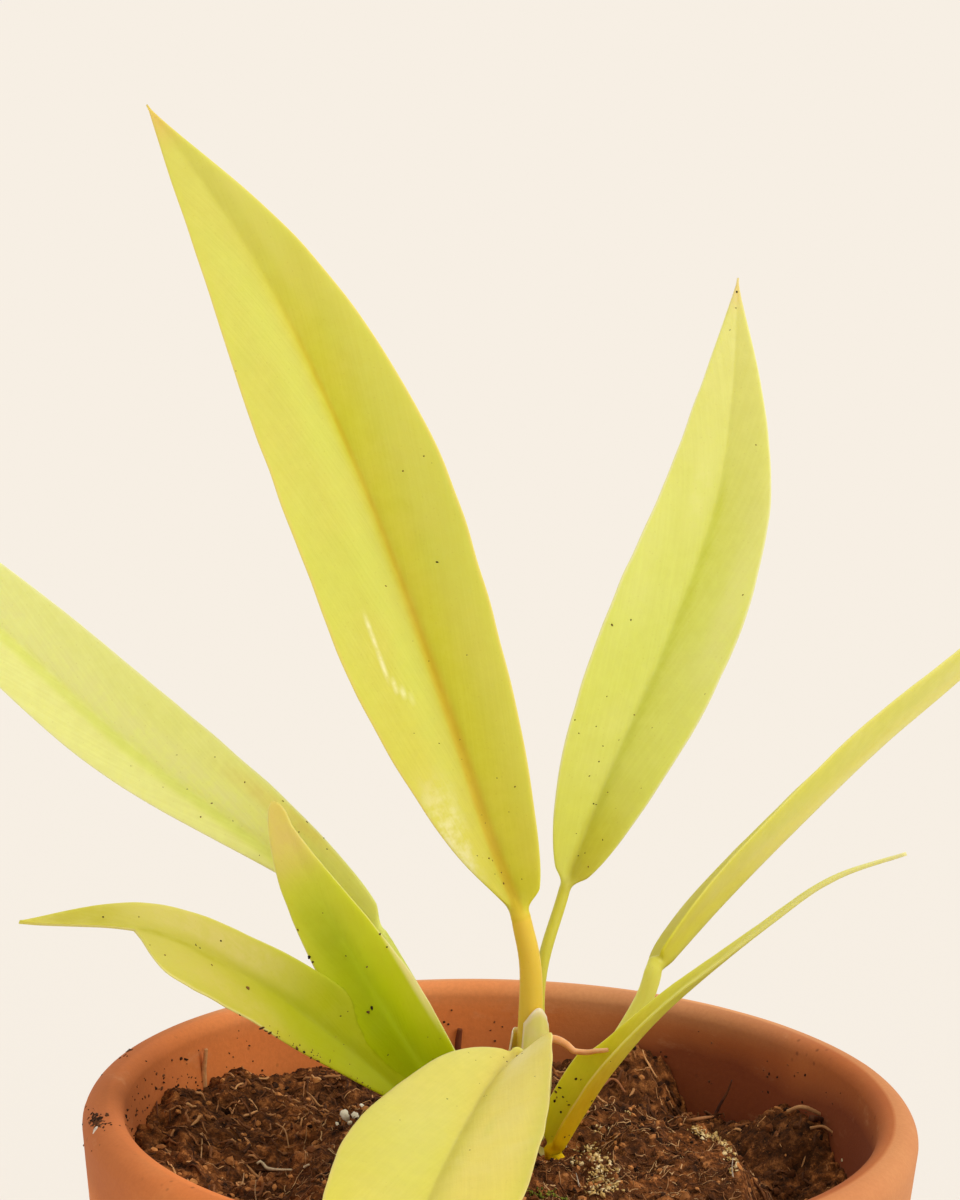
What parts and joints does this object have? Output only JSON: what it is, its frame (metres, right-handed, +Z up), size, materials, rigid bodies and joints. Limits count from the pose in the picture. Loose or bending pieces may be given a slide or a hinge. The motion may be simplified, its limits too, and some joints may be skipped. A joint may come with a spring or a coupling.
{
  "type": "potted philodendron",
  "caption": "Young golden saw philodendron with slender lime to golden leaves, standing in a tapered round terracotta pot filled with dark potting mix.",
  "frame": {"origin": "centre of the pot's flat underside, on the pot's axis", "axes": "+Z up along the pot's axis, +X to the right and -Y towards the viewer in the view that shows the tall leaf leaning left"},
  "size_m": [0.2247, 0.1727, 0.2469],
  "materials": {
    "terracotta": "unglazed fired clay, matt and slightly porous, with darker damp patches and fine specks of soil",
    "soil": null,
    "stem": null,
    "sheath": null,
    "root": null,
    "leaf_gold": null,
    "leaf_lime": null,
    "leaf_green": null,
    "leaf_pale": null
  },
  "bodies": {
    "root": {"pot": "terracotta", "soil": "soil", "crown_stem": "stem", "stem_sheath": "sheath", "aerial_root": "root", "leaf_tall": "leaf_gold", "leaf_right": "leaf_lime", "leaf_far_left": "leaf_lime", "leaf_far_right": "leaf_lime", "leaf_two_lobed": "leaf_green", "leaf_strap": "leaf_green", "leaf_front": "leaf_pale"}
  },
  "joints": []
}
